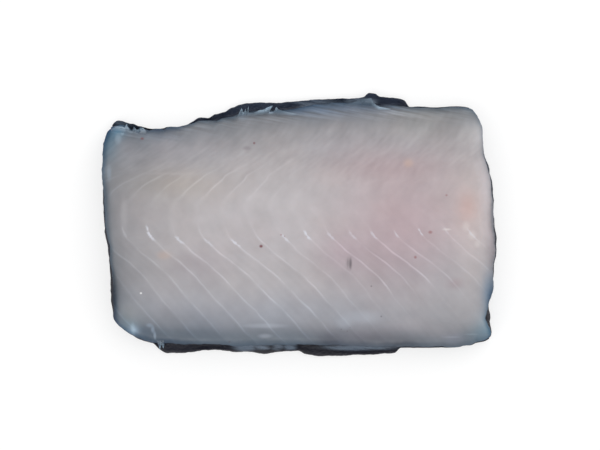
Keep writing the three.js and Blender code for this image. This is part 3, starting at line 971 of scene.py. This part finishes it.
# %% Small helpers for building node trees
SOFT_DETAIL = 2.0
NOISE_MIDDLE = 0.5


def add_node(tree, kind, inputs=None, **settings):
    """Adds a node, sets its options, then links each input that is given a socket and sets the rest."""
    node = tree.nodes.new("ShaderNode" + kind)
    for key, value in settings.items():
        setattr(node, key, value)
    for key, value in (inputs or {}).items():
        if isinstance(value, bpy.types.NodeSocket):
            tree.links.new(value, node.inputs[key])
        else:
            node.inputs[key].default_value = value
    return node


def maths(tree, operation, first, *others):
    """One operation on a number, or on several numbers in turn from left to right."""
    for other in others or (0.0,):
        first = add_node(tree, "Math", {0: first, 1: other}, operation=operation).outputs[0]
    return first


def colour_maths(tree, operation, *values):
    """One operation on colours or vectors, for each of their three numbers alike."""
    return add_node(tree, "VectorMath", dict(enumerate(values)), operation=operation).outputs[0]


def smooth_range(tree, value, low, high):
    """0 at low and 1 at high, with a smooth step between."""
    inputs = {"Value": value, "From Min": low, "From Max": high}
    return add_node(tree, "MapRange", inputs, interpolation_type="SMOOTHSTEP").outputs[0]


def mix_colour(tree, share, colour, other, blend="MIX"):
    """The colour, with a share of it blended with the other one."""
    inputs = {0: share, 6: colour, 7: other}
    return add_node(tree, "Mix", inputs, data_type="RGBA", blend_type=blend).outputs[2]


def noise(tree, place, scale, detail=SOFT_DETAIL):
    """A cloudy value about one half. The scale is about how many clouds there are to the metre."""
    return add_node(tree, "TexNoise", {"Vector": place, "Scale": scale, "Detail": detail}).outputs["Fac"]


def swing(tree, place, scale, size, detail=SOFT_DETAIL):
    """A noise less its middle, times a size, so that it swings to both sides of zero."""
    centred = maths(tree, "SUBTRACT", noise(tree, place, scale, detail), NOISE_MIDDLE)
    return maths(tree, "MULTIPLY", centred, size)


def new_group(name, inputs, outputs):
    """A node group with named sockets. Gives back its tree, what it is given and what it gives."""
    group = bpy.data.node_groups.new(name, "ShaderNodeTree")
    for direction, sockets in (("INPUT", inputs), ("OUTPUT", outputs)):
        for socket_name, kind in sockets.items():
            group.interface.new_socket(socket_name, in_out=direction, socket_type="NodeSocket" + kind)
    return group, group.nodes.new("NodeGroupInput").outputs, group.nodes.new("NodeGroupOutput").inputs


print("sockets are numbered as in Blender", bpy.app.version_string)

# %% The group of fine mottling
MOTTLE_DETAIL = 5.0
PATCH_GRAIN = 0.4
PATCH_EDGE = (0.4, 0.65)


def make_mottling():
    """Brightens and darkens a colour by an amount of noise, and multiplies it by a tint in slower patches."""
    sockets = {name: "Float" for name in ("Grain", "Amount", "Tinge")}
    sockets = {"Colour": "Color", "Tint": "Color", "Place": "Vector", **sockets}
    group, given, result = new_group("fine mottling", sockets, {"Colour": "Color"})
    gain = swing(group, given["Place"], given["Grain"], given["Amount"], MOTTLE_DETAIL)
    gain = maths(group, "ADD", gain, 1.0)
    patch_scale = maths(group, "MULTIPLY", given["Grain"], PATCH_GRAIN)
    patches = smooth_range(group, noise(group, given["Place"], patch_scale), *PATCH_EDGE)
    tinge = maths(group, "MULTIPLY", patches, given["Tinge"])
    tinted = mix_colour(group, tinge, given["Colour"], given["Tint"], "MULTIPLY")
    group.links.new(colour_maths(group, "MULTIPLY", tinted, gain), result["Colour"])
    return group


MOTTLING = make_mottling()
print(MOTTLING.name, "has", len(MOTTLING.nodes), "nodes")

# %% The group of wet film
POOL_DETAIL = 3.0
POOL_EDGE = (0.35, 0.65)


def make_wet_film():
    """Roughness from shiny to dull by a noise, and that noise again as the height of the moisture."""
    sockets = {"Place": "Vector", "Grain": "Float", "Shiny": "Float", "Dull": "Float"}
    group, given, result = new_group("wet film", sockets, {"Roughness": "Float", "Height": "Float"})
    pools = noise(group, given["Place"], given["Grain"], POOL_DETAIL)
    inputs = {"Value": pools, "From Min": POOL_EDGE[0], "From Max": POOL_EDGE[1]}
    inputs |= {"To Min": given["Shiny"], "To Max": given["Dull"]}
    group.links.new(add_node(group, "MapRange", inputs).outputs[0], result["Roughness"])
    group.links.new(pools, result["Height"])
    return group


WET_FILM = make_wet_film()
print(WET_FILM.name, "has", len(WET_FILM.nodes), "nodes")

# %% The group of one soft spot
SPOT_EDGE = (1.0, 0.15)


def make_soft_spot():
    """Paints an oval spot that fades by the distance from its centre, as a share of its reach."""
    sockets = {name: "Vector" for name in ("Place", "Centre", "Reach")}
    sockets = {"Colour": "Color", "Spot Colour": "Color", **sockets, "Strength": "Float"}
    group, given, result = new_group("soft spot", sockets, {"Colour": "Color"})
    offset = colour_maths(group, "SUBTRACT", given["Place"], given["Centre"])
    share = colour_maths(group, "DIVIDE", offset, given["Reach"])
    away = add_node(group, "VectorMath", {0: share}, operation="LENGTH").outputs["Value"]
    mask = maths(group, "MULTIPLY", smooth_range(group, away, *SPOT_EDGE), given["Strength"])
    group.links.new(mix_colour(group, mask, given["Colour"], given["Spot Colour"]), result["Colour"])
    return group


SOFT_SPOT = make_soft_spot()
print(SOFT_SPOT.name, "has", len(SOFT_SPOT.nodes), "nodes")

# %% A material, what it reads and how it ends
def new_material(name):
    """A material with an empty tree. Gives back the material, its tree and the object's own place."""
    material = bpy.data.materials.new(name)
    material.use_nodes = True
    tree = material.node_tree
    tree.nodes.clear()
    return material, tree, add_node(tree, "TexCoord").outputs["Object"]


def read_points(tree, name, output="Fac"):
    """What is kept at the points under a name: one number, or a colour or vector."""
    return add_node(tree, "Attribute", attribute_name=name).outputs[output]


def mottled(tree, colour, place, settings):
    """The colour with fine mottling, from the shared group."""
    inputs = {"Colour": colour, "Place": place, **settings}
    return add_node(tree, "Group", inputs, node_tree=MOTTLING).outputs[0]


def wet(tree, place, settings):
    """The roughness and the height of the moisture, from the shared group."""
    return add_node(tree, "Group", {"Place": place, **settings}, node_tree=WET_FILM).outputs


def screen_colour(red, green, blue):
    """A colour in screen values as a socket takes it: linear, with a fourth number of 1."""
    return (*to_linear((red, green, blue)), 1)


def finish_surface(tree, settings):
    """Ends a tree with one Principled shader, and says how many nodes the tree has."""
    shader = add_node(tree, "BsdfPrincipled", settings)
    add_node(tree, "OutputMaterial", {"Surface": shader.outputs[0]})
    print("nodes in the tree:", len(tree.nodes))


print("middle grey as linear light:", np.round(screen_colour(128, 128, 128), 3))

# %% [markdown]
# The finish of the flesh
#
# The finish is moist meat with white lines in it, crisp ticks, fibres and a few specks and stains. The
# colours at the points are too coarse for crisp lines. So the lines are drawn from the number kept at
# each point: its distance to the nearest whole number, times the reach of one segment, is the distance
# to the nearest white sheet. A sheet lifts the colour under it by a share, so that it stays faint where
# the flesh is dark. The ticks use the same distance, but only where the points say so. Specks, stains,
# painted highlights and the painted shade in the nick are soft spots. A low subsurface weight lets
# light soften in the meat.

# %% Specks, stains, painted highlights and painted shade
# Screen colour, then the middle and reach along x and y and the strength of each spot
MARKS = {
    "blood": ((104, 44, 54), [
        (-19.3, -11, 1.3, 1.2, 0.9), (-79.2, 43.1, 1.3, 1, 0.8), (-22.8, 40.6, 0.9, 0.9, 0.7),
    ]),
    "faded blood": ((140, 94, 96), [
        (57.8, -16.5, 1.1, 1.1, 0.75), (65.3, -4, 1.6, 1.2, 0.7), (73.4, 14.5, 0.9, 0.8, 0.6),
        (-9.3, -5.3, 0.7, 0.7, 0.6), (-7.6, -6, 0.6, 0.6, 0.5),
    ]),
    # Painted shade in the dent of the nick, darkest in its shadow
    "painted shade in the nick": ((146, 137, 141), [(24.6, -19.6, 2.3, 4.6, 0.8)]),
    "painted shade, left side of the nick": ((126, 117, 122), [(24, -19.4, 0.7, 3.4, 0.45)]),
    "shadow in the nick": ((100, 92, 98), [(25.4, -19.7, 1, 4.2, 0.75)]),
    "orange stains": ((204, 166, 138), [(54.3, 30.5, 3.8, 3.4, 0.26), (-67.8, -15.5, 5.4, 3.4, 0.2)]),
    "cream at the last ticks": ((208, 201, 199), [
        (73.5, -2.6, 3.2, 0.9, 0.6), (83.2, -1, 2.8, 3.6, 0.35), (86.2, -5.5, 2.8, 3.4, 0.35),
        (88.8, -9.8, 2.2, 2.8, 0.3),
    ]),
    "crescent of film": ((140, 156, 174), [
        (-75.2, -50.6, 2.4, 1.6, 0.4), (-73.6, -52.7, 1.4, 2.8, 0.5), (-72.7, -55.8, 1.1, 3.2, 0.55),
    ]),
    "seam above the turns": ((174, 168, 168), [(-60, 25.2, 24, 1.1, 0.2)]),
    "pale band on the left": ((184, 182, 185), [(-87.8, 4.5, 2.6, 14, 0.16)]),
    # Painted highlights at the left corners and the left end, and a pale thread
    "painted highlight, left belly corner": ((160, 182, 196), [(-83.6, -52.4, 1.7, 4.4, 0.4)]),
    "painted highlight, left back corner": ((152, 166, 178), [(-91.2, 43, 2.4, 4.2, 0.35)]),
    "thread, left back corner": ((150, 170, 184), [(-89.2, 46, 1.2, 2.2, 0.35)]),
    "painted highlight, left end": ((138, 156, 172), [(-95.4, 25.5, 1.7, 5.5, 0.35)]),
    "dark spot, right belly corner": ((92, 110, 126), [(93, -56, 2.2, 1.8, 0.45)]),
    "thread, right belly edge": ((152, 158, 168), [(76, -56.6, 6, 0.8, 0.3)]),
    "thread, right belly corner": ((140, 152, 162), [(86, -55.2, 5, 0.7, 0.3)]),
    "bruise": ((126, 117, 123), [(-26.3, 38, 3, 1.6, 0.5)]),
    "dark specks": ((76, 70, 78), [
        (20.8, -52.6, 0.6, 0.6, 0.35), (23.8, -53.6, 0.6, 0.6, 0.35), (25.3, -51.6, 0.5, 0.5, 0.3),
        (35.8, -31, 0.7, 0.7, 0.5), (40.8, -46.1, 0.7, 0.7, 0.6), (-35.3, -59.1, 0.9, 0.8, 0.7),
    ]),
    "white scale": ((230, 230, 232), [(-79.4, -34.5, 0.8, 0.7, 0.9)]),
    # Painted highlights on the wet belly film
    "painted highlights on the belly film": ((172, 178, 190), [
        (-17.3, -50.8, 15, 1.8, 0.33), (-17.3, -56, 5, 1.8, 0.3), (32, -46.5, 13, 5, 0.3),
        (22, -49.5, 6, 4.5, 0.3),
    ]),
}
FAR = 1.0


def paint_marks(tree, colour, place):
    """Puts one soft spot over another. Each reaches through the whole thickness of the slab."""
    for screen, spots in MARKS.values():
        for x, y, reach_x, reach_y, strength in spots:
            inputs = {"Colour": colour, "Spot Colour": screen_colour(*screen), "Place": place}
            inputs |= {"Centre": (x * MM, y * MM, 0), "Reach": (reach_x * MM, reach_y * MM, FAR)}
            inputs |= {"Strength": strength}
            colour = add_node(tree, "Group", inputs, node_tree=SOFT_SPOT).outputs[0]
    return colour


print("marks on the flesh:", {name: len(spots) for name, (_, spots) in MARKS.items()})

# %% Lines, ticks and fibres
LINE_SHAKE = {"scale": 160.0, "size": 0.09}
LINE_EDGE = (1.4, 0.1)
LINE_WEAR = {"scale": 80.0, "edge": (0.22, 0.55)}
TICK_TEAR = {"scale": 500.0, "size": 2.2}
TICK_CORE = (0.8, 0.1)
FIBRE_CELLS = (1 / 40, 1 / 700, 1 / 40)


def draw_lines(tree, place, half, tick):
    """Masks of the white sheets, which fade in and out along their way, and of the torn ticks.

    A sheet's mask falls with the distance from it, as a share of the half width kept at the points.
    """
    number, reach, show = add_node(tree, "SeparateXYZ", {0: read_points(tree, "muscle", "Vector")}).outputs
    shaken = maths(tree, "ADD", number, swing(tree, place, **LINE_SHAKE))
    off_line = maths(tree, "ABSOLUTE", maths(tree, "SUBTRACT", shaken, maths(tree, "ROUND", shaken)))
    away = maths(tree, "MULTIPLY", off_line, reach)
    thin = smooth_range(tree, maths(tree, "DIVIDE", away, half), *LINE_EDGE)
    worn = smooth_range(tree, noise(tree, place, LINE_WEAR["scale"]), *LINE_WEAR["edge"])
    torn = maths(tree, "ADD", away, swing(tree, place, **TICK_TEAR))
    tick_mask = maths(tree, "MULTIPLY", smooth_range(tree, torn, *TICK_CORE), tick)
    return maths(tree, "MULTIPLY", thin, show, worn), tick_mask


def draw_fibres(tree, place, fibre):
    """A noise stretched into long thin streaks that slope down to the right, times the kept strength."""
    along = {0: place, "Rotation": (0, 0, -FIBRE_SLOPE), "Scale": FIBRE_CELLS}
    stretched = add_node(tree, "Mapping", along, vector_type="TEXTURE").outputs[0]
    return maths(tree, "MULTIPLY", swing(tree, stretched, scale=1.0, size=1.0), fibre)


print("fibres to the metre across:", round(1 / FIBRE_CELLS[1]))

# %% The flesh's material
LINE_LIFT = 0.22
FIBRE_LIFT = 2.2
LINE_TINT = (0.9, 1.0, 1.08)
TICK_COLOUR = screen_colour(205, 207, 217)
FLESH_TINT = (1.0, 0.92, 0.88, 1.0)
FLESH_MOTTLING = {"Tint": FLESH_TINT, "Grain": 115.0, "Amount": 0.28, "Tinge": 0.2}
FLESH_MOISTURE = {"Grain": 120.0, "Shiny": 0.32, "Dull": 0.5}
EDGE_ROUGHER = 0.45
FLESH_COAT = 0.12
LINE_RIDGE = 0.2
MOISTURE_HEIGHT = 0.35


def flesh_colour(tree, place, line, tick_mask, fibres):
    """The kept tone, mottled, times 1 plus the lift of lines and fibres, then ticks and marks on top."""
    base = mottled(tree, read_points(tree, "tone", "Color"), place, FLESH_MOTTLING)
    line_lift = maths(tree, "MULTIPLY", line, LINE_LIFT)
    lift = maths(tree, "ADD", line_lift, maths(tree, "MULTIPLY", fibres, FIBRE_LIFT))
    lifted = colour_maths(tree, "MULTIPLY_ADD", lift, LINE_TINT, (1, 1, 1))
    colour = mix_colour(tree, tick_mask, colour_maths(tree, "MULTIPLY", base, lifted), TICK_COLOUR)
    return paint_marks(tree, colour, place)


def make_flesh_material():
    """Moist flesh. Its thin edges are duller, and the lines and fibres stand up a little from it."""
    material, tree, place = new_material("moist_flesh")
    half, tick, fibre = add_node(tree, "SeparateXYZ", {0: read_points(tree, "lines", "Vector")}).outputs
    line, tick_mask = draw_lines(tree, place, half, tick)
    fibres = draw_fibres(tree, place, fibre)
    film = wet(tree, place, FLESH_MOISTURE)
    dull = read_points(tree, "dull_edge")
    roughness = maths(tree, "ADD", film["Roughness"], maths(tree, "MULTIPLY", dull, EDGE_ROUGHER))
    coat = maths(tree, "MULTIPLY", maths(tree, "SUBTRACT", 1.0, dull), FLESH_COAT)
    moisture = maths(tree, "MULTIPLY", film["Height"], MOISTURE_HEIGHT)
    height = maths(tree, "ADD", moisture, maths(tree, "MULTIPLY", line, LINE_RIDGE), fibres)
    bump = add_node(tree, "Bump", {"Strength": 0.35, "Distance": 0.0005, "Height": height}).outputs[0]
    finish_surface(tree, {
        "Base Color": flesh_colour(tree, place, line, tick_mask, fibres), "Roughness": roughness,
        "Normal": bump, "IOR": 1.38, "Coat Weight": coat, "Coat Roughness": 0.25,
        "Subsurface Weight": 0.1, "Subsurface Scale": 0.003, "Subsurface Radius": (1.0, 0.7, 0.6),
    })
    return material


flesh.data.materials.append(make_flesh_material())

# %% [markdown]
# The finish of skin and film
#
# Sturgeon skin is a dark slate leather, bluer along the back and browner towards the belly, with a fine
# rough grain of tiny points that catch the light when it is wet. The two tones are mixed by a share
# that is kept at the points. The tiny points of the grain are too many for a mesh, so a pattern of
# cells raises them as a bump. Thin film on the skin is a pale share, broken up by the same fibres as
# on the flesh, and the torn film has the flesh's own tone at its root and a pale tip.

# %% The skin's material
BACK_SKIN = screen_colour(38, 44, 58)
BELLY_SKIN = screen_colour(37, 36, 44)
SKIN_TINT = (1.6, 1.7, 1.8, 1.0)
SKIN_MOTTLING = {"Tint": SKIN_TINT, "Grain": 110.0, "Amount": 0.6, "Tinge": 0.4}
SKIN_MOISTURE = {"Grain": 150.0, "Shiny": 0.28, "Dull": 0.5}
THIN_FILM = screen_colour(120, 133, 149)
FILM_STREAK = 1.6
FILM_EDGE = (0.1, 0.8)
GRAIN_POINTS = 900.0


def make_skin_material():
    """Two tones mixed by the kept share, mottled, with a film that covers them where it is kept."""
    material, tree, place = new_material("wet_skin")
    sides = mix_colour(tree, read_points(tree, "toward_back"), BELLY_SKIN, BACK_SKIN)
    share = read_points(tree, "film")
    streaks = maths(tree, "MULTIPLY", draw_fibres(tree, place, share), FILM_STREAK)
    cover = smooth_range(tree, maths(tree, "ADD", share, streaks), *FILM_EDGE)
    colour = mix_colour(tree, cover, mottled(tree, sides, place, SKIN_MOTTLING), THIN_FILM)
    points = add_node(tree, "TexVoronoi", {"Vector": place, "Scale": GRAIN_POINTS}).outputs["Distance"]
    bump = add_node(tree, "Bump", {"Strength": 0.5, "Distance": 0.0004, "Height": points}).outputs[0]
    finish_surface(tree, {
        "Base Color": colour, "Roughness": wet(tree, place, SKIN_MOISTURE)["Roughness"], "Normal": bump,
        "IOR": 1.4, "Coat Weight": 0.2, "Coat Roughness": 0.2,
    })
    return material


skin.data.materials.append(make_skin_material())

# %% The material of the torn film
FILM_TIP = screen_colour(158, 180, 198)
FILM_MOTTLING = {**FLESH_MOTTLING, "Amount": 0.2}


def make_film_material():
    """The flesh's tone, mixed with the colour of the tip by how pale the sheet is kept to be."""
    material, tree, place = new_material("torn_film")
    tone = read_points(tree, "tone", "Color")
    colour = mix_colour(tree, read_points(tree, "pale"), tone, FILM_TIP)
    finish_surface(tree, {
        "Base Color": mottled(tree, colour, place, FILM_MOTTLING),
        "Roughness": wet(tree, place, FLESH_MOISTURE)["Roughness"], "IOR": 1.38,
    })
    return material


shreds.data.materials.append(make_film_material())

# %% [markdown]
# Stage, light and camera
#
# The photograph looks straight down on white. A short lens close by would show the sides of the slab,
# so the camera has a long lens and hangs far above. The light is soft and comes from the upper right,
# with a weaker light from the lower left. The floor glows a little itself, as a light table does, so
# the shadow on it stays faint.

# %% Floor
FLOOR_HALF = 4000.0
WHITE = (1, 1, 1, 1)
FLOOR_GREY = (0.4, 0.4, 0.4, 1)


def make_floor():
    """A flat square of one face, which reaches past every view."""
    corners = FLOOR_HALF * np.array([(-1, -1, 0), (1, -1, 0), (1, 1, 0), (-1, 1, 0)])
    floor = piece_from_arrays("floor", corners, np.array([[0, 1, 2, 3]]))
    material, tree, _ = new_material("pale_floor")
    glow = {"Emission Color": WHITE, "Emission Strength": 0.6}
    finish_surface(tree, {"Base Color": FLOOR_GREY, "Roughness": 0.9, **glow})
    floor.data.materials.append(material)
    return floor


make_floor()

# %% Lights
LIGHTS = {
    "key": {"place": (0.75, 0.75, 1.15), "size": 1.4, "power": 6.5},
    "fill": {"place": (-0.6, -0.9, 1.3), "size": 1.2, "power": 3},
}
WORLD_STRENGTH = 0.9


def add_soft_light(name, place, size, power):
    """A square area light at a place in metres, turned to face the object."""
    data = bpy.data.lights.new(name, "AREA")
    data.size = size
    data.energy = power
    light = bpy.data.objects.new(name, data)
    light.location = place
    light.rotation_euler = (-light.location).to_track_quat("-Z", "Y").to_euler()
    bpy.context.collection.objects.link(light)


for light_name, settings in LIGHTS.items():
    add_soft_light(light_name, **settings)
world = bpy.data.worlds.new("studio")
world.use_nodes = True
background = world.node_tree.nodes["Background"].inputs
background["Color"].default_value = WHITE
background["Strength"].default_value = WORLD_STRENGTH
bpy.context.scene.world = world
bpy.context.scene.view_settings.view_transform = "Standard"
print("lights:", list(LIGHTS), "and a white sky of", WORLD_STRENGTH)

# %% Camera
CAMERA_PLACE = (0.00015, -0.0004, 2.0)
PICTURE_WIDTH = 600
SENSOR = 36
PIXELS_PER_METRE = 1974
camera_data = bpy.data.cameras.new("overhead")
camera_data.sensor_width = SENSOR
camera_data.lens = PIXELS_PER_METRE * CAMERA_PLACE[2] * SENSOR / PICTURE_WIDTH
camera = bpy.data.objects.new("overhead", camera_data)
camera.location = CAMERA_PLACE
bpy.context.collection.objects.link(camera)
bpy.context.scene.camera = camera
print("lens, mm:", round(camera_data.lens, 1))

# %% [markdown]
# Hang the pieces on the part's body
#
# All the pieces ride on the part's only body. Flesh and skin stand for the plain CAD solids of the same
# layer, which stay hidden for collisions. The shreds have no solid of their own.

# %% Ride, and hide the CAD solids
for piece, slot in ((flesh, "flesh"), (skin, "skin"), (shreds, "flesh")):
    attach(piece, "root")
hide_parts("flesh")
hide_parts("skin")

bpy.context.view_layer.update()
